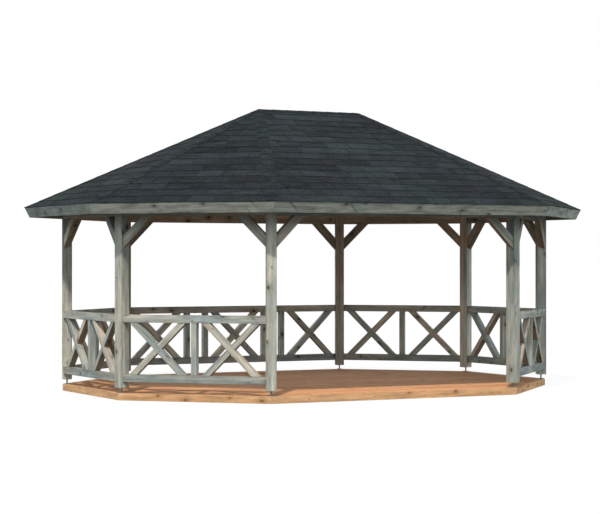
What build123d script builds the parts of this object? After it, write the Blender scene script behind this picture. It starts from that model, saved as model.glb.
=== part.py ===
from build123d import *
from math import asin, atan2, cos, degrees, hypot, radians, sin, sqrt, tan
import os

os.makedirs("parts", exist_ok=True)

# Garden gazebo on a long octagon: a regular octagon cut across its middle and drawn apart
# along X. Z is up and the ground is at Z = 0. The front is the long side that faces -Y.

# Plan, between post centres
short_side = 1910
stretch = 1500

# Floor
joist_height = 60
joist_width = 45
joist_pitch = 550
deck_thickness = 28
edging_thickness = 22
floor_out = 53

# Posts and the steel feet under them
post = 125
post_arris = 5
post_gap = 60
rod_diameter = 20
rod_in_post = 90
foot_size = 64
foot_thickness = 6
collar_diameter = 38
collar_thickness = 5

# Beams between the post heads, and their knee braces
headroom = 2140
plate_width = 90
plate_height = 215
tenon_thickness = 36
tenon_height = 120
tenon_stop = 26
brace_reach = 368
brace_width = 105
brace_thickness = 80

# Railings
rail_top = 950
rail_height = 94
rail_depth = 88
rail_arris = 4
rail_clearance = 135
upright_width = 73
upright_depth = 80
cross_width = 74
cross_depth = 72
cross_proud = 3
cross_end_gap = 63

# Roof
pitch = 24.95
eave_out = 507
rafter_seat = 8
hip_seat = 12
fascia_height = 126
fascia_thickness = 28
board_thickness = 20
shingle_thickness = 8
shingle_overhang = 4
rafter_width = 50
rafter_depth = 100
hip_width = 60
ridge_width = 40
ridge_depth = 150
hub_width = 190
hub_depth = 240
cap_width = 170
cap_thickness = 3

# Derived levels
floor_top = joist_height + deck_thickness
post_bottom = floor_top + post_gap
plate_bottom = floor_top + headroom
plate_top = plate_bottom + plate_height

# Derived plan: apothem of the half octagons, and half the angle between two sides
half_turn = 22.5
apothem = short_side * (1 + sqrt(2)) / 2

# Each post is turned to face out of its corner, so what meets it is centred on its face
line_out = post / 2 * sin(radians(half_turn))
face_at = post / 2 * cos(radians(half_turn))

# Derived roof: the rafters' seats on the beams set the eave, and the hips' seats the posts' tops
grade = tan(radians(pitch))
hip_grade = grade * cos(radians(half_turn))
rafter_drop = rafter_depth / cos(radians(pitch))
board_drop = board_thickness / cos(radians(pitch))
plate_out = line_out + plate_width / 2
eave_z = plate_top - rafter_seat + rafter_drop + board_drop - (eave_out - plate_out) * grade
ridge_z = eave_z + (apothem + eave_out) * grade
under_boards = ridge_z - board_drop
post_top = under_boards - rafter_drop - apothem * grade + hip_seat
hip_end = (apothem + eave_out) / cos(radians(half_turn))
beyond = apothem + 3 * eave_out
above = 2 * ridge_z

side_names = ["front", "front_right", "right", "back_right"]
side_names += ["back", "back_left", "left", "front_left"]
corner_names = ["front_right", "right_front", "right_back", "back_right"]
corner_names += ["back_left", "left_back", "left_front", "front_left"]


def end_shift(angle):
    """How far along X the half octagon that this direction belongs to stands from the middle."""
    lean = cos(radians(angle))
    if abs(lean) < 1e-6:
        return 0
    return stretch / 2 if lean > 0 else -stretch / 2


def side_angle(side):
    return -90 + 45 * side


def corner_angle(corner):
    return side_angle(corner) + half_turn


def side_length(side):
    return short_side + (stretch if side % 4 == 0 else 0)


def corner_point(corner, out):
    """Plan corner of the outline that lies out beyond the post centres."""
    angle = corner_angle(corner)
    reach = (apothem + out) / cos(radians(half_turn))
    return (end_shift(angle) + reach * cos(radians(angle)), reach * sin(radians(angle)))


def bar_length(side):
    """Length of a bar between two posts that runs well into both, before it is cut to their faces."""
    return side_length(side) - post / 2


def outline(out):
    return [corner_point(corner, out) for corner in range(8)]


def sector(side):
    """Plan region between the ridge and the two hips of a side, carried on past the eaves."""
    ridge_points = [corner_point(corner, -apothem) for corner in (side, side - 1)]
    if side % 4:
        ridge_points = ridge_points[:1]
    return [corner_point(side - 1, beyond), corner_point(side, beyond)] + ridge_points


def elevation(side, out):
    """Upright plane along a side, X along it, Y up, seen from outside."""
    angle = radians(side_angle(side))
    shift = end_shift(side_angle(side))
    face = Plane(origin=(shift, 0, 0), x_dir=(-sin(angle), cos(angle), 0), z_dir=(cos(angle), sin(angle), 0))
    return face.offset(apothem + out)


def slope(side, depth):
    """Plane in the pitch of a side, at this depth under the boards' top. Y runs up from the eave."""
    angle = radians(side_angle(side))
    tilt = radians(pitch)
    reach = apothem + eave_out
    start = (end_shift(side_angle(side)) + reach * cos(angle), reach * sin(angle), eave_z)
    normal = (cos(angle) * sin(tilt), sin(angle) * sin(tilt), cos(tilt))
    return Plane(origin=start, x_dir=(-sin(angle), cos(angle), 0), z_dir=normal).offset(-depth)


def corner_plane(corner, height):
    """Level plane on a post's centre, X pointing out of the corner."""
    angle = radians(corner_angle(corner))
    x, y = corner_point(corner, 0)
    return Plane(origin=(x, y, height), x_dir=(cos(angle), sin(angle), 0), z_dir=(0, 0, 1))


def section(side):
    """Upright plane across the middle of a side, X outward from the line of its members, Y up."""
    face = elevation(side, line_out)
    return Plane(origin=face.origin, x_dir=face.z_dir, z_dir=-face.x_dir)


def hip_plane(corner):
    """Upright plane through a hip, X outward from the end of the ridge, Y up."""
    angle = radians(corner_angle(corner))
    shift = end_shift(corner_angle(corner))
    return Plane(origin=(shift, 0, 0), x_dir=(cos(angle), sin(angle), 0), z_dir=(sin(angle), -cos(angle), 0))


def roof_layer(side, depth, thickness, start):
    """One side of a roof layer, square cut at the eave and plumb cut at its hips and the ridge."""
    with BuildPart() as layer:
        with BuildSketch(slope(side, depth)):
            with Locations((0, start)):
                Rectangle(2 * beyond, 2 * beyond, align=(Align.CENTER, Align.MIN))
        extrude(amount=-thickness)
        with BuildSketch(Plane.XY):
            Polygon(*sector(side), align=None)
        extrude(amount=above, mode=Mode.INTERSECT)
    return layer.part


with BuildSketch() as post_section:
    Rectangle(post, post)
    chamfer(post_section.vertices(), post_arris)

with BuildSketch() as rail_section:
    Rectangle(rail_depth, rail_height)
    chamfer(rail_section.vertices(), rail_arris)

# ---- Floor ----
joist_count = int((2 * apothem + stretch) / joist_pitch)
with BuildPart() as floor_frame:
    with BuildSketch():
        Polygon(*outline(floor_out - edging_thickness), align=None)
        Polygon(*outline(floor_out - edging_thickness - joist_width), align=None, mode=Mode.SUBTRACT)
        with GridLocations(joist_pitch, 0, joist_count, 1):
            Rectangle(joist_width, 2 * apothem)
        Polygon(*outline(floor_out - edging_thickness), align=None, mode=Mode.INTERSECT)
    extrude(amount=joist_height)
floor_frame.part.label = "floor_frame"
export_step(floor_frame.part, "parts/floor_frame.step")

with BuildPart() as floor_edging:
    with BuildSketch():
        Polygon(*outline(floor_out), align=None)
        Polygon(*outline(floor_out - edging_thickness), align=None, mode=Mode.SUBTRACT)
    extrude(amount=floor_top)
floor_edging.part.label = "floor_edging"
export_step(floor_edging.part, "parts/floor_edging.step")

with BuildPart() as floor_deck:
    with BuildSketch(Plane.XY.offset(joist_height)):
        Polygon(*outline(floor_out - edging_thickness), align=None)
    extrude(amount=deck_thickness)
floor_deck.part.label = "floor_deck"
export_step(floor_deck.part, "parts/floor_deck.step")

# ---- Steel feet: a plate on the deck, a rod up into the post and a collar that the post sits on ----
with BuildPart() as post_feet:
    for corner in range(8):
        with BuildSketch(corner_plane(corner, floor_top)):
            RectangleRounded(foot_size, foot_size, foot_thickness)
        extrude(amount=foot_thickness)
        with BuildSketch(corner_plane(corner, floor_top)):
            Circle(rod_diameter / 2)
        extrude(amount=post_gap + rod_in_post)
        with BuildSketch(corner_plane(corner, post_bottom - collar_thickness)):
            Circle(collar_diameter / 2)
        extrude(amount=collar_thickness)
post_feet.part.label = "post_feet"
export_step(post_feet.part, "parts/post_feet.step")

# ---- Beams between the post heads, with stub tenons ----
with BuildPart() as wall_plates:
    for side in range(8):
        with BuildSketch(elevation(side, line_out)):
            with Locations((0, plate_bottom)):
                Rectangle(bar_length(side), plate_height, align=(Align.CENTER, Align.MIN))
        extrude(amount=plate_width / 2, both=True)
    for corner in range(8):
        with BuildSketch(corner_plane(corner, floor_top)):
            add(post_section.sketch)
        extrude(amount=above, mode=Mode.SUBTRACT)
    for side in range(8):
        with BuildSketch(elevation(side, line_out)):
            with Locations((0, plate_bottom + plate_height / 2)):
                Rectangle(side_length(side) - 2 * tenon_stop, tenon_height)
        extrude(amount=tenon_thickness / 2, both=True)
wall_plates.part.label = "wall_plates"
export_step(wall_plates.part, "parts/wall_plates.step")

# ---- Roof frame, fitted under the boards ----
core_layers = [roof_layer(side, board_thickness, ridge_z, fascia_thickness) for side in range(8)]
with BuildPart() as under_roof:
    add(core_layers)

with BuildPart() as ridge_beam:
    with BuildSketch(Plane.YZ):
        with Locations((0, under_boards)):
            Rectangle(ridge_width, ridge_depth, align=(Align.CENTER, Align.MAX))
    extrude(amount=stretch / 2, both=True)
    with BuildSketch(Plane.XY.offset(under_boards - hub_depth)):
        with Locations((-stretch / 2, 0), (stretch / 2, 0)):
            RegularPolygon(hub_width / 2, 8, major_radius=False, rotation=0)
    extrude(amount=hub_depth)
    add(under_roof.part, mode=Mode.INTERSECT)
ridge_beam.part.label = "ridge_beam"
export_step(ridge_beam.part, "parts/ridge_beam.step")

with BuildPart() as post_blanks:
    for corner in range(8):
        with BuildSketch(corner_plane(corner, post_bottom)):
            add(post_section.sketch)
        extrude(amount=post_top - post_bottom)

with BuildPart() as hip_rafters:
    for corner in range(8):
        with BuildSketch(hip_plane(corner)):
            with BuildLine():
                Polyline(
                    (0, ridge_z),
                    (0, under_boards - rafter_drop),
                    (hip_end, under_boards - rafter_drop - hip_end * hip_grade),
                    (hip_end, ridge_z - hip_end * hip_grade),
                    close=True,
                )
            make_face()
        extrude(amount=hip_width / 2, both=True)
    add(under_roof.part, mode=Mode.INTERSECT)
    add(ridge_beam.part, mode=Mode.SUBTRACT)
    add(wall_plates.part, mode=Mode.SUBTRACT)
    add(post_blanks.part, mode=Mode.SUBTRACT)
hip_rafters.part.label = "hip_rafters"
export_step(hip_rafters.part, "parts/hip_rafters.step")

bars = []
for side in range(8):
    with BuildPart() as bar:
        with BuildSketch(slope(side, board_thickness)):
            with Locations(*[(x, fascia_thickness) for x in ([0] if side % 4 else [-stretch / 2, 0, stretch / 2])]):
                Rectangle(rafter_width, 2 * beyond, align=(Align.CENTER, Align.MIN))
        extrude(amount=-rafter_depth)
        with BuildSketch(Plane.XY):
            Polygon(*sector(side), align=None)
        extrude(amount=above, mode=Mode.INTERSECT)
    bars.append(bar.part)
with BuildPart() as rafters:
    add(bars)
    add(ridge_beam.part, mode=Mode.SUBTRACT)
    add(hip_rafters.part, mode=Mode.SUBTRACT)
    add(wall_plates.part, mode=Mode.SUBTRACT)
rafters.part.label = "rafters"
export_step(rafters.part, "parts/rafters.step")

# ---- Posts, mortised for the beams and bored for the rods ----
for corner in range(8):
    with BuildPart() as post_piece:
        with BuildSketch(corner_plane(corner, post_bottom)):
            add(post_section.sketch)
        extrude(amount=post_top - post_bottom)
        with BuildSketch(corner_plane(corner, post_bottom)):
            Circle(rod_diameter / 2)
        extrude(amount=rod_in_post, mode=Mode.SUBTRACT)
        for side in (corner, (corner + 1) % 8):
            with BuildSketch(elevation(side, line_out)):
                with Locations((0, plate_bottom + plate_height / 2)):
                    Rectangle(side_length(side) - 2 * tenon_stop, tenon_height)
            extrude(amount=tenon_thickness / 2, both=True, mode=Mode.SUBTRACT)
    post_piece.part.label = "post_" + corner_names[corner]
    export_step(post_piece.part, f"parts/{post_piece.part.label}.step")

# ---- Knee braces, their feet cut to the turned faces of the posts ----
brace_groups = {"front": [0], "right": [1, 2, 3], "back": [4], "left": [5, 6, 7]}
for name, group in brace_groups.items():
    with BuildPart() as braces:
        for side in group:
            foot_x = side_length(side) / 2 - face_at
            with BuildSketch(elevation(side, line_out)):
                with BuildLine():
                    Polyline(
                        (foot_x - brace_reach, plate_bottom),
                        (foot_x - brace_reach + brace_width * sqrt(2), plate_bottom),
                        (foot_x + face_at, plate_bottom - brace_reach - face_at + brace_width * sqrt(2)),
                        (foot_x + face_at, plate_bottom - brace_reach - face_at),
                        close=True,
                    )
                make_face()
                mirror(about=Plane.YZ)
            extrude(amount=brace_thickness / 2, both=True)
        add(post_blanks.part, mode=Mode.SUBTRACT)
    braces.part.label = "braces_" + name
    export_step(braces.part, f"parts/{braces.part.label}.step")

# ---- Railings: rails, uprights and crossed boards halved over each other ----
rail_low = floor_top + rail_clearance
rail_high = floor_top + rail_top - rail_height
cross_bottom = rail_low + rail_height
cross_height = rail_high - cross_bottom
field = (short_side - 2 * face_at - upright_width) / 2
pair_gap = (stretch - field - 3 * upright_width) / 2
cross_span = field - 2 * cross_end_gap
cross_tilt = degrees(atan2(cross_height, cross_span) + asin(cross_width / hypot(cross_span, cross_height)))
cross_length = cross_height / sin(radians(cross_tilt)) + 2 * cross_width
field_step = (field + upright_width) / 2
pair_step = (pair_gap + upright_width) / 2
cross_middle = cross_bottom + cross_height / 2
short_layout = {"uprights": [0], "fields": [-field_step, field_step]}
long_layout = {
    "uprights": [x * field_step + y * pair_step for x in (-1, 1) for y in (0, 2 * x)],
    "fields": [-2 * (field_step + pair_step), 0, 2 * (field_step + pair_step)],
}
for side in range(1, 8):
    layout = short_layout if side % 4 else long_layout
    with BuildPart() as railing:
        with BuildSketch(section(side)):
            with Locations((0, rail_low + rail_height / 2), (0, rail_high + rail_height / 2)):
                add(rail_section.sketch)
        extrude(amount=bar_length(side) / 2, both=True)
        with BuildSketch(elevation(side, line_out)):
            with Locations(*[(x, cross_middle) for x in layout["uprights"]]):
                Rectangle(upright_width, cross_height)
        extrude(amount=upright_depth / 2, both=True)
        for turn, proud in ((cross_tilt, 0), (-cross_tilt, cross_proud)):
            with BuildSketch(elevation(side, line_out - cross_depth / 2)):
                with Locations(*[Location((x, cross_middle), turn) for x in layout["fields"]]):
                    Rectangle(cross_length, cross_width)
                with Locations((0, cross_middle)):
                    Rectangle(side_length(side), cross_height, mode=Mode.INTERSECT)
            extrude(amount=cross_depth + proud)
        add(post_blanks.part, mode=Mode.SUBTRACT)
    railing.part.label = "railing_" + side_names[side]
    export_step(railing.part, f"parts/{railing.part.label}.step")

# ---- Fascia boards, square to the pitch and mitred in two directions ----
for name, group in (("fascia_sides", (0, 2, 4, 6)), ("fascia_corners", (1, 3, 5, 7))):
    boards = []
    for side in group:
        with BuildPart() as board:
            with BuildSketch(slope(side, 0)):
                Rectangle(2 * beyond, fascia_thickness, align=(Align.CENTER, Align.MIN))
            extrude(amount=-fascia_height)
            with BuildSketch(Plane.XY):
                Polygon(*sector(side), align=None)
            extrude(amount=above, mode=Mode.INTERSECT)
        boards.append(board.part)
    with BuildPart() as fascia:
        add(boards)
    fascia.part.label = name
    export_step(fascia.part, f"parts/{name}.step")

# ---- Roof boards and shingles, plumb cut along the hips ----
for side in range(8):
    boarding = roof_layer(side, 0, board_thickness, fascia_thickness)
    boarding.label = "roof_boards_" + side_names[side]
    export_step(boarding, f"parts/{boarding.label}.step")
    shingles = roof_layer(side, -shingle_thickness, shingle_thickness, -shingle_overhang)
    shingles.label = "shingles_" + side_names[side]
    export_step(shingles, f"parts/{shingles.label}.step")

# ---- Caps folded over the ridge and the hips ----
cap_layers = [
    roof_layer(side, -shingle_thickness - cap_thickness, cap_thickness, -shingle_overhang) for side in range(8)
]
with BuildPart() as roof_caps:
    add(cap_layers)
    with BuildSketch(Plane.XY):
        Rectangle(stretch, cap_width)
        for corner in range(8):
            angle = corner_angle(corner)
            with Locations(Location((end_shift(angle), 0), angle)):
                Rectangle(2 * hip_end, cap_width, align=(Align.MIN, Align.CENTER))
    extrude(amount=above, mode=Mode.INTERSECT)
roof_caps.part.label = "roof_caps"
export_step(roof_caps.part, "parts/roof_caps.step")
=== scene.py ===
import math
import random

import bmesh
import bpy
from mathutils import Matrix, Vector


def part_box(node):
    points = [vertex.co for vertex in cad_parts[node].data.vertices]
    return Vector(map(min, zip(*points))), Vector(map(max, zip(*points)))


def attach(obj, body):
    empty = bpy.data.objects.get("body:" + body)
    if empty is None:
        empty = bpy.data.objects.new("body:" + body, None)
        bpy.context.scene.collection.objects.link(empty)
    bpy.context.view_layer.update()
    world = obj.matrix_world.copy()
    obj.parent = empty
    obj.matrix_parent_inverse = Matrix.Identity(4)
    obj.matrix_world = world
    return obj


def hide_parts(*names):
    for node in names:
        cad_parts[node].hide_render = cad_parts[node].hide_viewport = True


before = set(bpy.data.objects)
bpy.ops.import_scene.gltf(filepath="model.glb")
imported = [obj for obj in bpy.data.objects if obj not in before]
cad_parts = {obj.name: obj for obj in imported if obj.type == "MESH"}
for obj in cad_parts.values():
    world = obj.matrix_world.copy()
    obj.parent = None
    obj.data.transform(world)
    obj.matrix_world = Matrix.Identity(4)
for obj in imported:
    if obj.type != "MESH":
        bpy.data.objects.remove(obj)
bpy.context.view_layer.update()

# ---- Names, anticlockwise round the plan; each corner comes after the side of its number ----
SIDES = ["front", "front_right", "right", "back_right", "back", "back_left", "left", "front_left"]
CORNERS = ["front_right", "right_front", "right_back", "back_right"]
CORNERS += ["back_left", "left_back", "left_front", "front_left"]
HALF_TURN = math.radians(22.5)

# ---- Sizes in metres that the frame's boxes don't give ----
# Posts, railings and braces
POST = 0.125
RAIL_HEIGHT = 0.094
RAIL_DEPTH = 0.088
UPRIGHT_WIDTH = 0.073
UPRIGHT_DEPTH = 0.080
CROSS_WIDTH = 0.074
CROSS_DEPTH = 0.072
CROSS_END_GAP = 0.063
CROSS_PROUD_INSIDE = 0.001
CROSS_PROUD_OUTSIDE = 0.003
BRACE_REACH = 0.368
BRACE_WIDTH = 0.105
BRACE_THICKNESS = 0.080

# Floor
JOIST_WIDTH = 0.045
JOIST_PITCH = 0.550
JOIST_DROP = 0.0005
EDGING_THICKNESS = 0.022
DECK_THICKNESS = 0.028
DECK_BOARD = 0.120
DECK_GAP = 0.005
DECK_CLEARANCE = 0.001
DECK_UNEVENNESS = 0.0008

# Fascia and roof boards
FASCIA_THICKNESS = 0.028
BOARD_THICKNESS = 0.020
ROOF_BOARD = 0.110
ROOF_JOINT = 0.003

# Shingles; a lift is the height of an underside above the roof boards
COURSE = 0.196
TABS = 3
TAB_WIDTH = 0.333
TAB_HEADLAP = 0.05
SHORTEST_TAB = 0.02
SHINGLE_THICKNESS = 0.0030
SHINGLE_GAP = 0.007
SHINGLE_OVERHANG = 0.004
SHINGLE_LIFT = 0.0002
STARTER_INSET = 0.001
BUTT_CLEARANCE = 0.0003
BUTT_CURL = 0.0006
BUTT_WAVER = 0.003
STAGGER = 1.0
UNDERLAY_THICKNESS = 0.0005
UNDERLAY_LIFT = 0.0001

# Caps over the ridge and the hips
CAP_HALF_WIDTH = 0.075
CAP_LENGTH = 0.30
CAP_THICKNESS = 0.0022
CAP_EXPOSURE = 0.20
CAP_BUTT_LIFT = 0.0086
CAP_HEAD_LIFT = 0.0050

# How far pieces run past the planes that then cut them
UNCUT = (-3, 3)
BRACE_UNCUT = (-0.3, 1.0)
CROSS_UNCUT = (-0.8, 0.8)
BOARD_SPARE = 0.05
STRIP_SPARE = 0.05
RIDGE_SPARE = 0.02
CAP_SIDE_SPARE = 0.04
CAP_FOOT_SPARE = 0.06
CAP_HEAD_SPARE = 0.03

# Broken edges
JOIST_ARRIS = 0.002
BOARD_ARRIS = 0.0025
BAR_ARRIS = 0.003
BEAM_ARRIS = 0.004
POST_ARRIS = 0.005
ARRIS_PROFILE = 0.6
SHARP = math.radians(12)

# ---- Looks: a tone from dark to pale and a hue from blue-grey to tan ----
# Posts, in the order of CORNERS; the tones above 1, on the two right posts, are painted light
POST_LOOKS = [(0.50, 0.30), (1.50, 0.40), (1.80, 0.50), (0.65, 0.60)]
POST_LOOKS += [(0.50, 0.60), (0.50, 0.55), (0.65, 0.55), (0.80, 0.60)]

# Fascia boards and edging boards of the floor, in the order of SIDES
FASCIA_LOOKS = [(0.75, 0.50), (1.30, 0.65), (0.60, 0.40), (0.40, 0.60)]
FASCIA_LOOKS += [(0.55, 0.45), (0.35, 0.55), (0.70, 0.15), (0.40, 0.45)]
EDGING_LOOKS = [(0.35, 0.75), (0.45, 0.70), (0.45, 0.35), (0.50, 0.60)]
EDGING_LOOKS += [(0.30, 0.45), (0.60, 0.65), (0.40, 0.50), (0.50, 0.60)]

# Bars of a railing; each cross has one tan bar and one grey bar, in two kinds that take turns
TOP_RAIL_LOOK = (0.50, 0.38)
BOTTOM_RAIL_LOOK = (-0.15, 0.10)
UPRIGHT_LOOK = (0.55, 0.25)
CROSS_LOOKS = [((0.65, 0.85), (0.40, 0.30)), ((0.45, 0.20), (0.75, 0.90))]
# The far sides' bars are painted paler and bluer, as painted light that makes up for the light off
# the deck.
FAR_SIDES = ["right", "back_right", "back", "back_left"]
FAR_PAINTED_LIGHT = 0.45
FAR_PAINTED_COOL = 0.12

# Roofing felt
UNDERLAY_TONE = 0.2
STARTER_TONE = 0.1
STRIP_SHARE = 0.70
CAP_TONES = (0.25, 0.5)
CAP_HUE = 0.4
SLATE_BLUE = (0.026, 0.032, 0.038)
SLATE_GREEN = (0.026, 0.036, 0.035)
SLATE_BLACK = (0.019, 0.021, 0.024)

# How far the grain is shifted at most along its axes, and further on narrow faces; felt keeps
# its Y, which is the height above the butt
DRIFT = (30, 30, 30)
FELT_DRIFT = (30, 0, 30)
EDGE_GRAIN_SHIFT = 3.7

# How sheltered a face is that looks down, which also paints shade on it, before it is held to 1,
# and how far a broken edge is browned at least
SHELTER_AND_SHADE_BELOW = 1.4
ARRIS_BROWNING = 0.5

# ---- Light, floor and camera ----
SUN_FROM = (-0.371, -0.492, 0.788)
SUN_STRENGTH = 2.85
SUN_COLOUR = (1.0, 0.925, 0.855)
SUN_WIDTH = math.radians(3)
HORIZON = (0.70, 0.80, 0.84)
SKY_BAND = (1.66, 1.84, 1.90)
ZENITH = (0.20, 0.24, 0.27)
SKY_BEHIND = (0.46, 0.89, 0.0)
SKY_LEVELS = (0.65, 1.32)
WHITE = (1.0, 1.0, 1.0)
FLOOR_WHITE = (0.95, 0.95, 0.95)
FLOOR_BOUNCE = (0.13, 0.14, 0.14)
FLOOR_GLOW = 0.92
FLOOR_REACH = 400
CAMERA_PLACE = (-11.6637, -22.4150, 1.6919)
CAMERA_TILT = math.radians(90.1069)
CAMERA_TURN = math.radians(-27.2161)
CAMERA_LENS = 113.90
CAMERA_SENSOR = 36
CAMERA_RANGE = 1000

# ---- Plan and roof, worked out from the frame ----


def middle(node):
    low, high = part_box(node)
    return (low + high) / 2


UP = Vector((0, 0, 1))
apothem = -middle("post_front_right").y
short_side = -2 * middle("post_right_front").y
stretch = 2 * middle("post_front_right").x - short_side
line_out = POST / 2 * math.sin(HALF_TURN)
face_at = POST / 2 * math.cos(HALF_TURN)
floor_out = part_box("floor_edging")[1].y - apothem
rail_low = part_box("railing_back")[0].z
rail_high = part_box("railing_back")[1].z - RAIL_HEIGHT
eave_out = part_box("fascia_sides")[1].y - apothem
eave_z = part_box("fascia_sides")[1].z
ridge_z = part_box("roof_boards_front")[1].z
pitch = math.atan2(ridge_z - eave_z, apothem + eave_out)
slope_length = (apothem + eave_out) / math.cos(pitch)


def is_long(side):
    return side % 4 == 0


def side_angle(side):
    return math.radians(-90 + 45 * side)


def corner_angle(corner):
    return side_angle(corner) + HALF_TURN


def flat(angle):
    return Vector((math.cos(angle), math.sin(angle), 0))


def half_centre(angle):
    """The centre of the half octagon that an angle points to, as the halves are drawn apart.

    For the front and the back, which belong to both halves, it is the middle of the plan.
    """
    lean = math.cos(angle)
    return Vector((0.0 if abs(lean) < 1e-6 else math.copysign(stretch / 2, lean), 0, 0))


def side_middle(side, out):
    angle = side_angle(side)
    return half_centre(angle) + flat(angle) * (apothem + out)


def corner_point(corner):
    angle = corner_angle(corner)
    return half_centre(angle) + flat(angle) * apothem / math.cos(HALF_TURN)


def side_length(side):
    return short_side + (stretch if is_long(side) else 0)


def eave_half(side):
    return side_length(side) / 2 + eave_out * math.tan(HALF_TURN)


def ridge_half(side):
    return stretch / 2 if is_long(side) else 0


def basis(origin, x, y, z):
    turned = Matrix((x, y, z)).transposed().to_4x4()
    return Matrix.Translation(origin) @ turned


def elevation(side, out):
    """X along the side, Y up, Z outward, from the middle of the side at ground level."""
    outward = flat(side_angle(side))
    return basis(side_middle(side, out), UP.cross(outward), UP, outward)


def slope(side):
    """X along the eave, Y up the pitch, Z out of the roof, from the top of the fascia."""
    outward = flat(side_angle(side))
    along_eave = UP.cross(outward)
    normal = outward * math.sin(pitch) + UP * math.cos(pitch)
    origin = side_middle(side, eave_out) + UP * eave_z
    return basis(origin, along_eave, normal.cross(along_eave), normal)


def along(place, angle, x, y):
    """A frame at (x, y) in place, turned about its Z axis, so that one axis follows a slant."""
    return place @ Matrix.Translation((x, y, 0)) @ Matrix.Rotation(angle, 4, "Z")


def ends_of(side):
    """The corners at the two ends of a side, each with the end's direction along the side."""
    return (side, 1), (side - 1, -1)


def mitre_cuts(side):
    """Upright planes through the two hips of a side, normals outward."""
    cuts = []
    for corner, sign in ends_of(side):
        angle = corner_angle(corner)
        cuts.append((half_centre(angle), sign * UP.cross(flat(angle))))
    return cuts


def panel_cuts(side):
    """The mitres of a side and, if it is long, an upright plane through the ridge."""
    cuts = mitre_cuts(side)
    if is_long(side):
        cuts.append((Vector((0, 0, 0)), -flat(side_angle(side))))
    return cuts


def outline_cuts(out):
    """Upright planes round the plan outline that lies out beyond the post centres."""
    return [(side_middle(side, out), flat(side_angle(side))) for side in range(8)]


def post_cuts(side):
    """Planes of the two post faces that a bar along this side butts against."""
    cuts = []
    for corner, sign in ends_of(side):
        facing = -sign * UP.cross(flat(corner_angle(corner)))
        cuts.append((corner_point(corner) + facing * POST / 2, -facing))
    return cuts


# ---- Mesh helpers ----
class Timber:
    """Collects boards or tabs in one mesh, each with its own grain direction, place and look.

    The look of a face is the tone and hue of its board, and how sheltered the face is; faces that
    look down are browned by it, partly as painted shade.
    """

    def __init__(self, name, seed):
        self.name = name
        self.random = random.Random(seed)
        self.mesh = bmesh.new()
        self.grain = self.mesh.loops.layers.float_vector.new("grain")
        self.look = self.mesh.faces.layers.float_vector.new("look")

    def add(self, piece, place, arris=0.0, segments=1, tone=None, hue=None, drift=DRIFT):
        """Takes over a bmesh given in world space; the X axis of place runs along the grain."""
        piece.normal_update()
        worn = set()
        if arris:
            worn.update(break_edges(piece, arris, segments))
        shift = Vector([self.random.uniform(-reach, reach) for reach in drift])
        tone = self.random.random() if tone is None else tone
        hue = self.random.random() if hue is None else hue
        back = place.inverted()
        turn = back.to_3x3()
        copied = {vert: self.mesh.verts.new(vert.co) for vert in piece.verts}
        for face in piece.faces:
            made = self.mesh.faces.new([copied[loop.vert] for loop in face.loops])
            # Faces that look down are browned, partly as painted shade; faces of broken edges are
            # browned at least a set amount.
            shelter_and_shade = max(shelter_and_shade_of(face), ARRIS_BROWNING if face in worn else 0)
            made[self.look] = Vector((tone, hue, shelter_and_shade))
            normal = turn @ face.normal
            on_edge = abs(normal.y) > abs(normal.z)
            for loop, old in zip(made.loops, face.loops):
                p = back @ old.vert.co
                if on_edge:
                    p = Vector((p.x + EDGE_GRAIN_SHIFT, p.z, p.y))
                loop[self.grain] = p + shift
        piece.free()

    def finish(self, material, slot, *nodes):
        """Makes the object, and gives the CAD nodes that it stands for the same material."""
        data = bpy.data.meshes.new(self.name)
        self.mesh.normal_update()
        self.mesh.to_mesh(data)
        self.mesh.free()
        data.materials.append(material)
        piece = bpy.data.objects.new(self.name, data)
        bpy.context.scene.collection.objects.link(piece)
        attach(piece, "root")
        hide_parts(*nodes)
        for node in nodes:
            paint(node, material)


def paint(node, material):
    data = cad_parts[node].data
    data.materials.clear()
    data.materials.append(material)


def break_edges(piece, arris, segments):
    """Bevels the sharp edges of a bmesh and returns the new faces."""
    sharp = [e for e in piece.edges if len(e.link_faces) == 2 and e.calc_face_angle(0) > SHARP]
    bevelled = bmesh.ops.bevel(
        piece, geom=sharp, offset=arris, segments=segments, affect="EDGES", profile=ARRIS_PROFILE
    )
    piece.normal_update()
    return bevelled["faces"]


def shelter_and_shade_of(face):
    """How far a face is hidden from rain and sun, by how much it looks down; the brown this gives
    it is partly painted shade.
    """
    return min(1.0, max(0.0, -SHELTER_AND_SHADE_BELOW * face.normal.z))


def trim(piece, cuts):
    """Cuts away what lies beyond each plane and closes the cut."""
    for point, normal in cuts:
        bmesh.ops.bisect_plane(
            piece,
            geom=piece.verts[:] + piece.edges[:] + piece.faces[:],
            dist=1e-6,
            plane_co=point,
            plane_no=normal,
            clear_outer=True,
        )
        gaps = [edge for edge in piece.edges if edge.is_boundary]
        if gaps:
            bmesh.ops.holes_fill(piece, edges=gaps, sides=0)


def remains(piece):
    """Whether trimming has left a solid, with four faces or more; if not, the piece is freed."""
    if len(piece.faces) > 3:
        return True
    piece.free()
    return False


def block(place, x, y, z, cuts=()):
    """A box between (low, high) limits along the axes of place, trimmed by planes."""
    piece = bmesh.new()
    bmesh.ops.create_cube(piece, size=1)
    size = [high - low for low, high in (x, y, z)]
    centre = Vector([(low + high) / 2 for low, high in (x, y, z)])
    fit = place @ Matrix.Translation(centre) @ Matrix.Diagonal(size + [1])
    bmesh.ops.transform(piece, matrix=fit, verts=piece.verts)
    trim(piece, cuts)
    return piece


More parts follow.
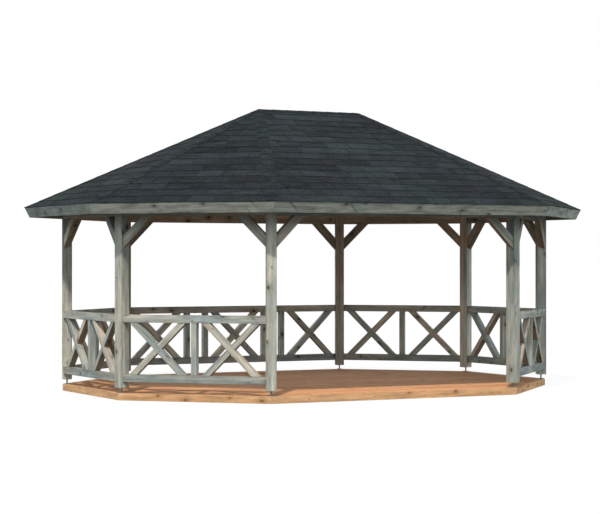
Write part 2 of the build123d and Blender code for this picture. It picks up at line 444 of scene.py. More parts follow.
def leaf(place, x, y, head_lift, butt_lift, thickness, cuts):
    """A thin sheet, trimmed by planes, with its butt at low y and its head at high y.

    The lifts are the heights of its underside in place.
    """
    piece = bmesh.new()
    outline = [(x[0], y[0], butt_lift), (x[1], y[0], butt_lift)]
    outline += [(x[1], y[1], head_lift), (x[0], y[1], head_lift)]
    corners = []
    for rise in (0.0, thickness):
        for px, py, pz in outline:
            corners.append(piece.verts.new(place @ Vector((px, py, pz + rise))))
    bottom, top = (3, 2, 1, 0), (4, 5, 6, 7)
    for face in (bottom, top, (0, 1, 5, 4), (1, 2, 6, 5), (2, 3, 7, 6), (3, 0, 4, 7)):
        piece.faces.new([corners[i] for i in face])
    trim(piece, cuts)
    return piece


def solids_of(node):
    """The separate solids of a CAD node, as meshes with whole flat faces."""
    whole = bmesh.new()
    whole.from_mesh(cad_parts[node].data)
    bmesh.ops.remove_doubles(whole, verts=whole.verts, dist=1e-5)
    nearly_flat = math.radians(0.5)
    bmesh.ops.dissolve_limit(whole, angle_limit=nearly_flat, verts=whole.verts, edges=whole.edges)
    left = set(whole.verts)
    while left:
        island = {left.pop()}
        fresh = list(island)
        while fresh:
            for link in fresh.pop().link_edges:
                for vert in link.verts:
                    if vert in left:
                        left.discard(vert)
                        island.add(vert)
                        fresh.append(vert)
        solid = bmesh.new()
        copied = {vert: solid.verts.new(vert.co) for vert in sorted(island, key=lambda v: v.index)}
        for face in whole.faces:
            if face.verts[0] in copied:
                solid.faces.new([copied[vert] for vert in face.verts])
        solid.normal_update()
        yield solid
    whole.free()


def long_axis(solid):
    """A frame on a solid with X along its longest edge, as the grain of a timber runs."""
    longest = max(solid.edges, key=lambda e: round(e.calc_length(), 5))
    x = (longest.verts[1].co - longest.verts[0].co).normalized()
    wide = max(solid.faces, key=lambda f: round(f.calc_area(), 6))
    z = (wide.normal - x * wide.normal.dot(x)).normalized()
    centre = sum((v.co for v in solid.verts), Vector()) / len(solid.verts)
    return basis(centre, x, z.cross(x), z)


# ---- Materials ----
class Nodes:
    """A node tree, with short calls for its nodes."""

    def __init__(self, tree):
        self.tree = tree

    def node(self, kind, inputs, **settings):
        made = self.tree.nodes.new(kind)
        for key, value in settings.items():
            setattr(made, key, value)
        for key, value in inputs.items():
            self.put(made.inputs[key], value)
        return made

    def put(self, socket, value):
        if isinstance(value, bpy.types.NodeSocket):
            self.tree.links.new(value, socket)
        elif socket.type == "RGBA":
            socket.default_value = (*value, 1)
        else:
            socket.default_value = value

    def coordinates(self, kind):
        return self.node("ShaderNodeTexCoord", {}).outputs[kind]

    def axes(self, vector):
        return self.node("ShaderNodeSeparateXYZ", {0: vector}).outputs[:]

    def channels(self, colour):
        return self.node("ShaderNodeSeparateColor", {0: colour}).outputs[:]

    def math(self, operation, a, b=0.0, third=0.0):
        return self.node("ShaderNodeMath", {0: a, 1: b, 2: third}, operation=operation).outputs[0]

    def vector(self, operation, a, b, output=0):
        made = self.node("ShaderNodeVectorMath", {0: a, 1: b}, operation=operation)
        return made.outputs[output]

    def dimmed(self, colour, level):
        inputs = {0: colour, "Scale": level}
        return self.node("ShaderNodeVectorMath", inputs, operation="SCALE").outputs[0]

    def varied(self, level, value, strength):
        """A level, raised where a value is above one half and lowered where it is below."""
        return self.math("MULTIPLY_ADD", self.math("SUBTRACT", value, 0.5), strength, third=level)

    def span(self, value, low, high, to_low=0.0, to_high=1.0):
        """A smooth step that takes a value from one range to another."""
        inputs = {"Value": value, "From Min": low, "From Max": high}
        inputs.update({"To Min": to_low, "To Max": to_high})
        return self.node("ShaderNodeMapRange", inputs, interpolation_type="SMOOTHSTEP").outputs[0]

    def mix(self, factor, a, b):
        return self.node("ShaderNodeMix", {0: factor, 6: a, 7: b}, data_type="RGBA").outputs[2]

    def noise(self, vector, scale, detail=2.0, rough=0.5):
        stretched = self.vector("MULTIPLY", vector, scale)
        inputs = {"Vector": stretched, "Scale": 1.0, "Detail": detail, "Roughness": rough}
        return self.node("ShaderNodeTexNoise", inputs).outputs["Fac"]

    def knots(self, grain, density, rarity, size, lean):
        """Distance from the nearest knot, in its own half sizes along and across the grain."""
        spread = self.vector("MULTIPLY", grain, (*density, 0.0))
        inputs = {"Vector": spread, "Scale": 1.0}
        cells = self.node("ShaderNodeTexVoronoi", inputs, voronoi_dimensions="2D")
        growth = self.span(self.channels(cells.outputs["Color"])[0], rarity, 1.0, 0.02, 1.9)
        away = self.vector("SUBTRACT", spread, cells.outputs["Position"])
        x, y, _ = self.axes(self.vector("MULTIPLY", away, (1 / density[0], 1 / density[1], 0.0)))
        x = self.math("DIVIDE", self.math("MULTIPLY_ADD", y, lean, third=x), size[0])
        y = self.math("DIVIDE", y, size[1])
        square = self.math("ADD", self.math("MULTIPLY", x, x), self.math("MULTIPLY", y, y))
        return self.math("DIVIDE", self.math("SQRT", square), growth)


class Finish(Nodes):
    """A material, with what it reads from the mesh and what it gives to its shader."""

    def __init__(self, name):
        self.material = bpy.data.materials.new(name)
        self.material.use_nodes = True
        super().__init__(self.material.node_tree)
        self.shader = self.tree.nodes["Principled BSDF"]

    def attribute(self, name):
        return self.node("ShaderNodeAttribute", {}, attribute_name=name).outputs["Vector"]

    def give(self, socket, value):
        self.put(self.shader.inputs[socket], value)

    def bump(self, height, strength, distance):
        inputs = {"Strength": strength, "Distance": distance, "Height": height}
        self.give("Normal", self.node("ShaderNodeBump", inputs).outputs[0])


def wood_knots(f, grain, knots, spikes):
    """The hearts of round and of long knots, and the halo of darker grain round them."""
    round_knots = f.knots(grain, (3.1, 7.0), 1.0 - 0.65 * knots, (0.019, 0.012), 0.0)
    long_knots = f.knots(grain, (1.3, 2.2), 1.0 - spikes, (0.009, 0.055), 0.9)
    long_heart = f.span(long_knots, 1.3, 0.3, 0.0, 0.75)
    heart = f.math("MAXIMUM", f.span(round_knots, 1.0, 0.55), long_heart)
    long_halo = f.math("MULTIPLY", f.span(long_knots, 3.0, 0.8), 0.7)
    halo = f.math("MAXIMUM", f.span(round_knots, 3.4, 0.8), long_halo)
    return heart, halo


def late_wood(f, grain, halo):
    """The dark lines of the growth rings, which run along the grain and bend round knots."""
    bend = f.math("MULTIPLY", halo, 0.10)
    swept = f.math("ADD", f.noise(grain, (0.9, 19.0, 19.0), 1.5), bend)
    waves = f.math("SINE", f.math("MULTIPLY", swept, 74.0))
    rings = f.math("MULTIPLY_ADD", waves, 0.5, third=0.5)
    return f.math("POWER", rings, 2.2)


def drying_checks(f, grain, checks):
    """Fine cracks along the grain, in patches."""
    drying = f.noise(grain, (1.1, 85.0, 85.0), 1.0)
    line = f.span(f.math("ABSOLUTE", f.math("SUBTRACT", drying, 0.5)), 0.010, 0.002)
    where = f.span(f.noise(grain, (1.3, 9.0, 9.0), 1.0), 0.56, 0.64)
    return f.math("MULTIPLY", f.math("MULTIPLY", line, where), checks)


def wood(
    name, pale, deep, blue, tan, brown, knot,
    knots=1.0, spikes=0.0, figure=0.15, mottle=1.0, spread=0.3, checks=1.0, painted_floor_light=0.0,
):
    """Sawn timber: fibres and growth rings along the grain, knots, stains, cracks and mildew.

    pale and deep colour its streaks, blue and tan its stains, brown its sheltered faces and broken
    edges, and knot its knots and rings; on faces that look down the brown is partly painted shade.
    knots and spikes say how common round and long knots are, figure how strong the rings are,
    mottle how strong blotches, bands and mildew are, spread how far boards differ in tone, checks
    how dark cracks are, and painted_floor_light how much paler it is near the ground, as painted
    light thrown up from the floor.
    """
    f = Finish(name)
    grain = f.attribute("grain")
    tone, hue, shelter_and_shade = f.axes(f.attribute("look"))
    above_ground = f.axes(f.coordinates("Object"))[2]

    heart, halo = wood_knots(f, grain, knots, spikes)
    late = late_wood(f, grain, halo)
    crack = drying_checks(f, grain, checks)
    fibres = f.noise(grain, (11.0, 420.0, 420.0), 3.0, 0.6)
    streaks = f.noise(grain, (0.8, 15.0, 15.0), 3.0, 0.55)
    bands = f.noise(grain, (2.4, 38.0, 38.0), 4.0, 0.68)
    blotches = f.noise(grain, (3.6, 15.0, 15.0), 4.0, 0.62)
    cloud = f.noise(grain, (1.2, 3.4, 3.4), 3.0, 0.6)
    specks = f.span(f.noise(grain, (75.0, 120.0, 120.0), 2.0, 0.65), 0.55, 0.72)

    colour = f.mix(f.span(streaks, 0.32, 0.68), deep, pale)
    lean = f.math("MULTIPLY", f.math("SUBTRACT", hue, 0.5), 0.45)
    stain = f.math("SUBTRACT", cloud, lean)
    colour = f.mix(f.span(stain, 0.50, 0.80, 0.0, 0.85), colour, blue)
    colour = f.mix(f.span(stain, 0.46, 0.20, 0.0, 0.85), colour, tan)
    # Sheltered faces and broken edges turn brown; on faces that look down this is partly painted
    # shade.
    browned = f.math("MULTIPLY", shelter_and_shade, f.span(blotches, 0.25, 0.60, 1.0, 0.80))
    colour = f.mix(browned, colour, brown)
    for mark, strength in ((late, figure), (halo, 0.32), (heart, 0.85)):
        colour = f.mix(f.math("MULTIPLY", mark, strength), colour, knot)

    level = f.varied(1.0, blotches, 0.95 * mottle)
    level = f.varied(level, bands, 1.05 * mottle)
    level = f.varied(level, fibres, 0.50)
    level = f.varied(level, tone, spread)
    level = f.math("MULTIPLY_ADD", specks, -0.28 * mottle, third=level)
    level = f.math("MULTIPLY", level, f.math("MULTIPLY_ADD", crack, -0.7, third=1.0))
    # Painted light: paler near the ground, standing in for light thrown up from the floor.
    level = f.math("MULTIPLY", level, f.span(above_ground, 0.5, 1.6, 1.0 + painted_floor_light, 1.0))

    f.give("Base Color", f.dimmed(colour, level))
    f.give("Roughness", f.span(fibres, 0.2, 0.8, 0.66, 0.88))
    f.give("Specular IOR Level", 0.15)
    relief = f.math("ADD", f.math("MULTIPLY", fibres, 0.45), f.math("MULTIPLY", late, 0.25))
    relief = f.math("SUBTRACT", relief, f.math("MULTIPLY", crack, 1.2))
    relief = f.math("ADD", relief, f.math("MULTIPLY", heart, 0.35))
    f.bump(relief, 0.55, 0.0012)
    return f.material


def felt(name):
    """Mineral-faced roofing felt: coloured granules on dark bitumen.

    It is darker along its butt, and has a painted shadow where the butt of the next course would
    shade it.
    """
    f = Finish(name)
    grain = f.attribute("grain")
    tone, hue, _ = f.axes(f.attribute("look"))
    above_butt = f.axes(grain)[1]
    place = f.coordinates("Object")
    chips = f.node("ShaderNodeTexVoronoi", {"Vector": place, "Scale": 420.0})
    chance = f.channels(chips.outputs["Color"])
    clusters = f.noise(place, (34.0, 34.0, 34.0), 3.0, 0.7)
    patches = f.noise(grain, (2.2, 5.0, 5.0), 3.0)
    streaks = f.noise(grain, (2.6, 30.0, 30.0), 3.0, 0.6)
    weather = f.noise(place, (1.1, 1.1, 1.1), 3.0)

    colour = f.mix(f.span(weather, 0.38, 0.66), SLATE_BLUE, SLATE_GREEN)
    colour = f.mix(f.math("MULTIPLY", hue, 0.6), colour, SLATE_BLACK)
    level = f.varied(1.0, clusters, 1.8)
    level = f.varied(level, patches, 1.1)
    level = f.varied(level, streaks, 1.15)
    level = f.varied(level, tone, 0.55)
    level = f.math("MULTIPLY", level, f.span(chance[1], 0.2, 1.0, 0.65, 1.5))
    level = f.math("MULTIPLY", level, f.span(above_butt, 0.002, 0.010, 0.7, 1.0))
    # Painted shadow: a dark line on the felt just under the butt of the next course.
    painted_course_shadow = f.span(above_butt, COURSE - 0.040, COURSE - 0.004, 0.0, 0.28)
    level = f.math("MULTIPLY", level, f.math("SUBTRACT", 1.0, painted_course_shadow))

    f.give("Base Color", f.dimmed(colour, level))
    f.give("Roughness", f.span(chance[0], 0.0, 1.0, 0.82, 0.98))
    f.give("Specular IOR Level", 0.03)
    relief = f.math("MULTIPLY_ADD", clusters, 0.6, third=chips.outputs["Distance"])
    f.bump(relief, 0.5, 0.0015)
    return f.material


def zinc(name):
    """Hot-dip galvanised steel with its spangle, dulled by weather."""
    f = Finish(name)
    place = f.coordinates("Object")
    spangle = f.node("ShaderNodeTexVoronoi", {"Vector": place, "Scale": 110.0})
    chance = f.channels(spangle.outputs["Color"])
    cloud = f.noise(place, (30.0, 30.0, 30.0), 3.0)
    colour = f.mix(f.span(chance[0], 0.0, 1.0), (0.20, 0.21, 0.22), (0.33, 0.34, 0.35))
    dulled = f.math("MULTIPLY", f.span(cloud, 0.5, 0.75), 0.6)
    f.give("Base Color", f.mix(dulled, colour, (0.12, 0.11, 0.10)))
    f.give("Metallic", 0.6)
    f.give("Roughness", f.span(chance[1], 0.0, 1.0, 0.42, 0.66))
    f.bump(cloud, 0.25, 0.0006)
    return f.material


grey_wood = wood(
    "grey_wood",
    pale=(0.50, 0.485, 0.41),
    deep=(0.295, 0.30, 0.265),
    blue=(0.275, 0.33, 0.335),
    tan=(0.48, 0.39, 0.315),
    brown=(0.215, 0.160, 0.100),
    knot=(0.060, 0.052, 0.042),
    # The grey wood is painted paler near the ground, as painted light.
    knots=0.95, spikes=0.15, figure=0.17, painted_floor_light=0.12,
)
fascia_wood = wood(
    "fascia_wood",
    pale=(0.50, 0.54, 0.50),
    deep=(0.33, 0.375, 0.35),
    blue=(0.31, 0.39, 0.415),
    tan=(0.46, 0.45, 0.385),
    brown=(0.22, 0.19, 0.13),
    knot=(0.060, 0.062, 0.056),
    knots=1.30, spikes=0.75, figure=0.16, mottle=1.35, spread=0.22,
)
roof_wood = wood(
    "roof_wood",
    pale=(0.33, 0.215, 0.115),
    deep=(0.23, 0.145, 0.075),
    blue=(0.27, 0.19, 0.12),
    tan=(0.36, 0.24, 0.13),
    brown=(0.215, 0.145, 0.080),
    knot=(0.085, 0.045, 0.020),
    figure=0.22,
)
deck_wood = wood(
    "deck_wood",
    pale=(0.71, 0.345, 0.158),
    deep=(0.58, 0.270, 0.117),
    blue=(0.62, 0.315, 0.160),
    tan=(0.73, 0.360, 0.178),
    brown=(0.40, 0.22, 0.12),
    knot=(0.22, 0.09, 0.04),
    knots=0.7, figure=0.12, mottle=0.5, spread=0.25, checks=0.3,
)
edging_wood = wood(
    "edging_wood",
    pale=(0.80, 0.465, 0.245),
    deep=(0.60, 0.335, 0.165),
    blue=(0.66, 0.43, 0.25),
    tan=(0.82, 0.455, 0.235),
    brown=(0.40, 0.25, 0.13),
    knot=(0.24, 0.12, 0.055),
    knots=1.2, spikes=0.3, figure=0.22, mottle=0.9, checks=0.5,
)
frame_wood = wood(
    "frame_wood",
    pale=(0.42, 0.34, 0.22),
    deep=(0.30, 0.23, 0.14),
    blue=(0.30, 0.30, 0.21),
    tan=(0.42, 0.32, 0.20),
    brown=(0.28, 0.22, 0.14),
    knot=(0.11, 0.07, 0.035),
    figure=0.20,
)
zinc_steel = zinc("zinc_steel")
shingle = felt("shingle")


# ---- Floor ----
def make_floor_frame():
    """A ring of joists, mitred at the corners, and the joists inside it."""
    timber = Timber("floor_joists", 11)
    low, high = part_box("floor_frame")
    inside = high.y - apothem - JOIST_WIDTH
    for side in range(8):
        place = elevation(side, inside)
        rim = block(place, UNCUT, (low.z, high.z), (0, JOIST_WIDTH), mitre_cuts(side))
        timber.add(rim, place, JOIST_ARRIS)
    count = int((2 * apothem + stretch) / JOIST_PITCH)
    upright = (low.z, high.z - JOIST_DROP)
    width = (-JOIST_WIDTH / 2, JOIST_WIDTH / 2)
    for index in range(count):
        x = (index - (count - 1) / 2) * JOIST_PITCH
        place = basis(Vector((x, 0, 0)), Vector((0, 1, 0)), UP, Vector((1, 0, 0)))
        joist = block(place, (-apothem, apothem), upright, width, outline_cuts(inside))
        timber.add(joist, place, JOIST_ARRIS)
    timber.finish(frame_wood, "frame_wood", "floor_frame")


def make_edging():
    timber = Timber("floor_edging_boards", 12)
    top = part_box("floor_edging")[1].z
    for side in range(8):
        place = elevation(side, floor_out - EDGING_THICKNESS)
        board = block(place, UNCUT, (0, top), (0, EDGING_THICKNESS), mitre_cuts(side))
        tone, hue = EDGING_LOOKS[side]
        timber.add(board, place, BOARD_ARRIS, 2, tone, hue)
    timber.finish(edging_wood, "edging_wood", "floor_edging")


def make_deck():
    """Rows of boards, each with one butt joint over a joist."""
    timber = Timber("deck_boards", 13)
    low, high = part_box("floor_deck")
    cuts = outline_cuts(floor_out - EDGING_THICKNESS - DECK_CLEARANCE)
    row_pitch = DECK_BOARD + DECK_GAP
    rows = math.ceil((high.y - low.y) / row_pitch)
    first = -rows * row_pitch / 2
    width = (-DECK_BOARD / 2, DECK_BOARD / 2)
    for row in range(rows):
        y = first + row * row_pitch
        joint = (timber.random.randrange(5) - 2) * JOIST_PITCH
        for x in ((low.x, joint - DECK_CLEARANCE), (joint + DECK_CLEARANCE, high.x)):
            place = Matrix.Translation((0, y + DECK_BOARD / 2, high.z))
            drop = timber.random.uniform(0, DECK_UNEVENNESS)
            board = block(place, x, width, (-DECK_THICKNESS, -drop), cuts)
            if remains(board):
                timber.add(board, place, BOARD_ARRIS)
    timber.finish(deck_wood, "deck_wood", "floor_deck")


# ---- Posts, beams and braces ----
def make_posts():
    half = (-POST / 2, POST / 2)
    for corner in range(8):
        node = "post_" + CORNERS[corner]
        low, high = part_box(node)
        timber = Timber(node + "_timber", 20 + corner)
        outward = flat(corner_angle(corner))
        place = basis(corner_point(corner), UP, outward.cross(UP), outward)
        tone, hue = POST_LOOKS[corner]
        timber.add(block(place, (low.z, high.z), half, half), place, POST_ARRIS, 2, tone, hue)
        timber.finish(grey_wood, "grey_wood", node)


def make_plates():
    """Beams between the post heads."""
    timber = Timber("wall_plate_beams", 30)
    low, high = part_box("wall_plates")
    half = high.y - apothem - line_out
    for side in range(8):
        place = elevation(side, line_out)
        reach = side_length(side) / 2
        beam = block(place, (-reach, reach), (low.z, high.z), (-half, half), post_cuts(side))
        timber.add(beam, place, BEAM_ARRIS, 2)
    timber.finish(grey_wood, "grey_wood", "wall_plates")


def make_braces():
    """Braces at 45 degrees, cut off along the beams' undersides and the posts' faces."""
    groups = {"front": [0], "right": [1, 2, 3], "back": [4], "left": [5, 6, 7]}
    beam_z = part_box("wall_plates")[0].z
    width = (-BRACE_WIDTH / 2, BRACE_WIDTH / 2)
    depth = (-BRACE_THICKNESS / 2, BRACE_THICKNESS / 2)
    for number, (name, group) in enumerate(groups.items()):
        timber = Timber("knee_braces_" + name, 40 + number)
        for side in group:
            place = elevation(side, line_out)
            cuts = [((0, 0, beam_z), UP)] + post_cuts(side)
            head = side_length(side) / 2 - face_at - BRACE_REACH + BRACE_WIDTH / math.sqrt(2)
            for sign in (-1, 1):
                angle = -math.pi / 4 if sign > 0 else math.pi + math.pi / 4
                line = along(place, angle, sign * head, beam_z)
                timber.add(block(line, BRACE_UNCUT, width, depth, cuts), line, BEAM_ARRIS, 2)
        timber.finish(grey_wood, "grey_wood", "braces_" + name)


# ---- Railings ----
def railing_layout(side):
    """The width between uprights, and where the uprights and the middles of crosses stand."""
    field = (short_side - 2 * face_at - UPRIGHT_WIDTH) / 2
    gap = (stretch - field - 3 * UPRIGHT_WIDTH) / 2
    step = (field + UPRIGHT_WIDTH) / 2
    pair = (gap + UPRIGHT_WIDTH) / 2
    if is_long(side):
        uprights = [-step - 2 * pair, -step, step, step + 2 * pair]
        return field, uprights, [-2 * (step + pair), 0, 2 * (step + pair)]
    return field, [0], [-step, step]


def bar_look(look, side):
    """A bar's tone and hue, painted paler and bluer on the far sides as painted light, to make up
    for the light off the deck that tans them.
    """
    tone, hue = look
    if SIDES[side] in FAR_SIDES:
        return tone + FAR_PAINTED_LIGHT, hue - FAR_PAINTED_COOL
    return tone, hue


def add_rails(timber, place, side):
    reach = side_length(side) / 2
    depth = (-RAIL_DEPTH / 2, RAIL_DEPTH / 2)
    for low, look in ((rail_low, BOTTOM_RAIL_LOOK), (rail_high, TOP_RAIL_LOOK)):
        bar = block(place, (-reach, reach), (low, low + RAIL_HEIGHT), depth, post_cuts(side))
        timber.add(bar, place, BEAM_ARRIS, 2, *bar_look(look, side))


def add_uprights(timber, place, side, uprights, bottom, tall):
    width = (-UPRIGHT_WIDTH / 2, UPRIGHT_WIDTH / 2)
    depth = (-UPRIGHT_DEPTH / 2, UPRIGHT_DEPTH / 2)
    for x in uprights:
        line = along(place, math.pi / 2, x, bottom)
        bar = block(line, (0, tall), width, depth)
        timber.add(bar, line, BAR_ARRIS, 1, *bar_look(UPRIGHT_LOOK, side))


def add_crosses(timber, place, side, crosses, field, bottom, tall):
    """Pairs of crossed bars, the first of a pair a little proud inside, the second outside."""
    span = field - 2 * CROSS_END_GAP
    tilt = math.atan2(tall, span) + math.asin(CROSS_WIDTH / math.hypot(span, tall))
    between = [((0, 0, bottom), -UP), ((0, 0, bottom + tall), UP)]
    width = (-CROSS_WIDTH / 2, CROSS_WIDTH / 2)
    half = CROSS_DEPTH / 2
    first = (tilt, (-half - CROSS_PROUD_INSIDE, half))
    second = (-tilt, (-half, half + CROSS_PROUD_OUTSIDE))
    for number, x in enumerate(crosses):
        for (angle, depth), look in zip((first, second), CROSS_LOOKS[number % 2]):
            line = along(place, angle, x, bottom + tall / 2)
            bar = block(line, CROSS_UNCUT, width, depth, between)
            timber.add(bar, line, BAR_ARRIS, 1, *bar_look(look, side))


def make_railing(side):
    timber = Timber("railing_" + SIDES[side] + "_timber", 50 + side)
    place = elevation(side, line_out)
    field, uprights, crosses = railing_layout(side)
    bottom = rail_low + RAIL_HEIGHT
    tall = rail_high - bottom
    add_rails(timber, place, side)
    add_uprights(timber, place, side, uprights, bottom, tall)
    add_crosses(timber, place, side, crosses, field, bottom, tall)
    timber.finish(grey_wood, "grey_wood", "railing_" + SIDES[side])


# ---- Roof ----
def make_roof_timber(node, name, seed):
    """The CAD node's own solids with broken edges and the grain along each timber."""
    timber = Timber(name, seed)
    for solid in solids_of(node):
        timber.add(solid, long_axis(solid), BAR_ARRIS)
    timber.finish(roof_wood, "roof_wood", node)


def make_fascias():
    low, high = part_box("fascia_sides")
    depth = (high.z - low.z) / math.cos(pitch)
    groups = {"sides": (0, 2, 4, 6), "corners": (1, 3, 5, 7)}
    for number, (name, group) in enumerate(groups.items()):
        timber = Timber("fascia_boards_" + name, 60 + number)
        for side in group:
            place = slope(side)
            board = block(place, UNCUT, (0, FASCIA_THICKNESS), (-depth, 0), mitre_cuts(side))
            tone, hue = FASCIA_LOOKS[side]
            timber.add(board, place, BOARD_ARRIS, 2, tone, hue)
        timber.finish(fascia_wood, "fascia_wood", "fascia_" + name)


def make_roof_boards(side):
    timber = Timber("roof_boarding_" + SIDES[side], 70 + side)
    place = slope(side)
    low = FASCIA_THICKNESS
    while low < slope_length:
        high = min(low + ROOF_BOARD, slope_length + BOARD_SPARE)
        board = block(place, UNCUT, (low, high), (-BOARD_THICKNESS, 0), panel_cuts(side))
        if remains(board):
            timber.add(board, place, BAR_ARRIS)
        low = high + ROOF_JOINT
    timber.finish(roof_wood, "roof_wood", "roof_boards_" + SIDES[side])


def add_underlay(timber, place, cuts):
    """The underlay over the whole panel and the starter strip under the first course."""
    y = (0, slope_length + RIDGE_SPARE)
    underlay = leaf(place, UNCUT, y, UNDERLAY_LIFT, UNDERLAY_LIFT, UNDERLAY_THICKNESS, cuts)
    timber.add(underlay, place, tone=UNDERLAY_TONE)
    y = (-SHINGLE_OVERHANG + STARTER_INSET, COURSE)
    starter = leaf(place, UNCUT, y, SHINGLE_LIFT, SHINGLE_LIFT, SHINGLE_THICKNESS, cuts)
    origin = place @ Matrix.Translation((0, -SHINGLE_OVERHANG, 0))
    timber.add(starter, origin, tone=STARTER_TONE, drift=FELT_DRIFT)


def add_course(timber, place, cuts, side, course):
    """Strips of tabs from end to end, whose butts stand on the course below."""
    draw = timber.random
    low = course * COURSE if course else -SHINGLE_OVERHANG
    high = min((course + 1) * COURSE + TAB_HEADLAP, slope_length + RIDGE_SPARE)
    widening = (eave_half(side) - ridge_half(side)) * (1 - low / slope_length)
    reach = ridge_half(side) + widening + STRIP_SPARE
    x = -reach - draw.uniform(0, STAGGER)
    while x < reach:
        strip_tone = draw.random()
        strip_hue = draw.random()
        butt = low + (draw.uniform(0, BUTT_WAVER) if course else 0)
        for _ in range(TABS):
            lift = SHINGLE_THICKNESS + BUTT_CLEARANCE + draw.uniform(0, BUTT_CURL)
            if butt < high - SHORTEST_TAB:
                width = (x, x + TAB_WIDTH - SHINGLE_GAP)
                y = (butt, high)
                tab = leaf(place, width, y, SHINGLE_LIFT, lift, SHINGLE_THICKNESS, cuts)
                if remains(tab):
                    tone = STRIP_SHARE * strip_tone + (1 - STRIP_SHARE) * draw.random()
                    origin = place @ Matrix.Translation((0, butt, 0))
                    timber.add(tab, origin, tone=tone, hue=strip_hue, drift=FELT_DRIFT)
            x += TAB_WIDTH


def make_shingles(side):
    timber = Timber("shingle_tabs_" + SIDES[side], 80 + side)
    place = slope(side)
    cuts = panel_cuts(side)
    add_underlay(timber, place, cuts)
    for course in range(math.ceil((slope_length + SHINGLE_OVERHANG) / COURSE)):
        add_course(timber, place, cuts, side, course)
    timber.finish(shingle, "shingle", "shingles_" + SIDES[side])


def add_caps(timber, place, cuts, foot, head, on_right):
    """Leaves up a line from foot to head, for the slope that lies on the line's right or left."""
    way = Vector(head) - Vector(foot)
    run = along(place, math.atan2(way.y, way.x) - math.pi / 2, *foot)
    x = (-CAP_SIDE_SPARE, CAP_HALF_WIDTH) if on_right else (-CAP_HALF_WIDTH, CAP_SIDE_SPARE)
    for index in range(math.ceil(way.length / CAP_EXPOSURE)):
        low = index * CAP_EXPOSURE if index else -CAP_FOOT_SPARE
        high = min(low + CAP_LENGTH, way.length + CAP_HEAD_SPARE)
        cap = leaf(run, x, (low, high), CAP_HEAD_LIFT, CAP_BUTT_LIFT, CAP_THICKNESS, cuts)
        if remains(cap):
            origin = run @ Matrix.Translation((0, low, 0))
            tone = timber.random.uniform(*CAP_TONES)
            timber.add(cap, origin, tone=tone, hue=CAP_HUE, drift=FELT_DRIFT)


def make_caps():
    """Caps up the hips and along the ridge, where both slopes' leaves lap the same way."""
    timber = Timber("ridge_and_hip_caps", 90)
    for side in range(8):
        place = slope(side)
        down = -(place.to_3x3() @ Vector((0, 1, 0)))
        cuts = panel_cuts(side) + [(place @ Vector((0, -SHINGLE_OVERHANG, 0)), down)]
        eave, ridge = eave_half(side), ridge_half(side)
        for sign in (-1, 1):
            head = (sign * ridge, slope_length)
            add_caps(timber, place, cuts, (sign * eave, 0), head, sign < 0)
        if is_long(side):
            way = 1 if SIDES[side] == "front" else -1
            head = (way * ridge, slope_length)
            add_caps(timber, place, cuts, (-way * ridge, slope_length), head, way > 0)
    timber.finish(shingle, "shingle", "roof_caps")


make_floor_frame()
make_edging()
make_deck()
make_posts()
make_plates()
make_braces()
for side in range(1, 8):
    make_railing(side)
make_roof_timber("ridge_beam", "ridge_timber", 65)
make_roof_timber("hip_rafters", "hip_timbers", 66)
make_roof_timber("rafters", "rafter_timbers", 67)
make_fascias()
for side in range(8):
    make_roof_boards(side)
    make_shingles(side)
make_caps()
paint("post_feet", zinc_steel)


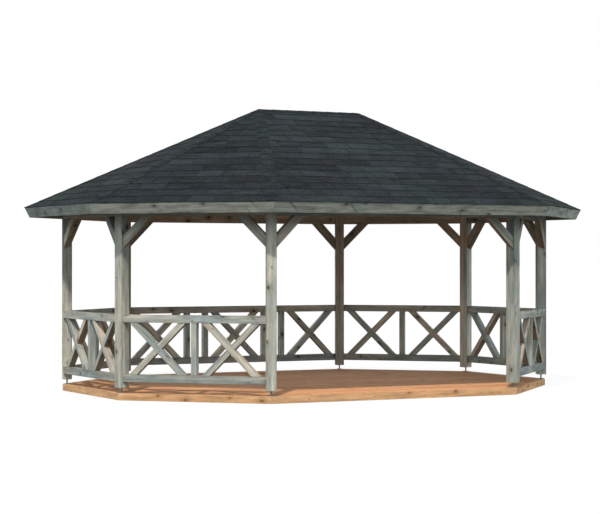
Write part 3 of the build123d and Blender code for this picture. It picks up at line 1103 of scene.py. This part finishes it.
# ---- Stage: floor, light and camera ----
def make_stage():
    """A dull floor that keeps a faint shadow.

    Only the camera sees it white and glowing. To all other rays it is dark, so that it throws
    little light up.
    """
    f = Finish("studio_floor")
    f.give("Roughness", 1.0)
    f.give("Specular IOR Level", 0.0)
    seen = f.node("ShaderNodeLightPath", {}).outputs["Is Camera Ray"]
    f.give("Base Color", f.mix(seen, FLOOR_BOUNCE, FLOOR_WHITE))
    glow = f.node("ShaderNodeEmission", {"Color": WHITE, "Strength": 1.0}).outputs[0]
    share = f.math("MULTIPLY", seen, FLOOR_GLOW)
    blend = f.node("ShaderNodeMixShader", {0: share, 1: f.shader.outputs[0], 2: glow}).outputs[0]
    f.put(f.tree.nodes["Material Output"].inputs["Surface"], blend)
    data = bpy.data.meshes.new("floor")
    low, high = -FLOOR_REACH, FLOOR_REACH
    corners = [(low, low, 0), (high, low, 0), (high, high, 0), (low, high, 0)]
    data.from_pydata(corners, [], [(0, 1, 2, 3)])
    data.materials.append(f.material)
    floor = bpy.data.objects.new("studio_floor", data)
    bpy.context.scene.collection.objects.link(floor)


def make_sun():
    data = bpy.data.lights.new("sun", "SUN")
    data.energy = SUN_STRENGTH
    data.color = SUN_COLOUR
    data.angle = SUN_WIDTH
    sun = bpy.data.objects.new("sun", data)
    sun.rotation_euler = Vector(SUN_FROM).to_track_quat("Z", "Y").to_euler()
    bpy.context.scene.collection.objects.link(sun)


def make_sky():
    """A soft sky, brightest in a band over the horizon and behind the gazebo.

    The camera and reflections see plain white instead.
    """
    world = bpy.data.worlds.new("studio")
    world.use_nodes = True
    sky = Nodes(world.node_tree)
    path = sky.node("ShaderNodeLightPath", {})
    seen = sky.math("MAXIMUM", path.outputs["Is Camera Ray"], path.outputs["Is Glossy Ray"])
    way = sky.coordinates("Generated")
    height = sky.axes(way)[2]
    dome = sky.mix(sky.span(height, 0.05, 0.32), HORIZON, SKY_BAND)
    dome = sky.mix(sky.span(height, 0.42, 0.80), dome, ZENITH)
    behind = sky.vector("DOT_PRODUCT", way, SKY_BEHIND, "Value")
    dome = sky.dimmed(dome, sky.span(behind, -0.9, 0.9, *SKY_LEVELS))
    sky.put(sky.tree.nodes["Background"].inputs["Color"], sky.mix(seen, dome, WHITE))
    bpy.context.scene.world = world


def make_camera():
    data = bpy.data.cameras.new("camera")
    data.lens = CAMERA_LENS
    data.sensor_width = CAMERA_SENSOR
    data.clip_end = CAMERA_RANGE
    camera = bpy.data.objects.new("camera", data)
    camera.location = CAMERA_PLACE
    camera.rotation_euler = (CAMERA_TILT, 0, CAMERA_TURN)
    bpy.context.scene.collection.objects.link(camera)
    bpy.context.scene.camera = camera
    bpy.context.scene.view_settings.view_transform = "Standard"


make_stage()
make_sun()
make_sky()
make_camera()
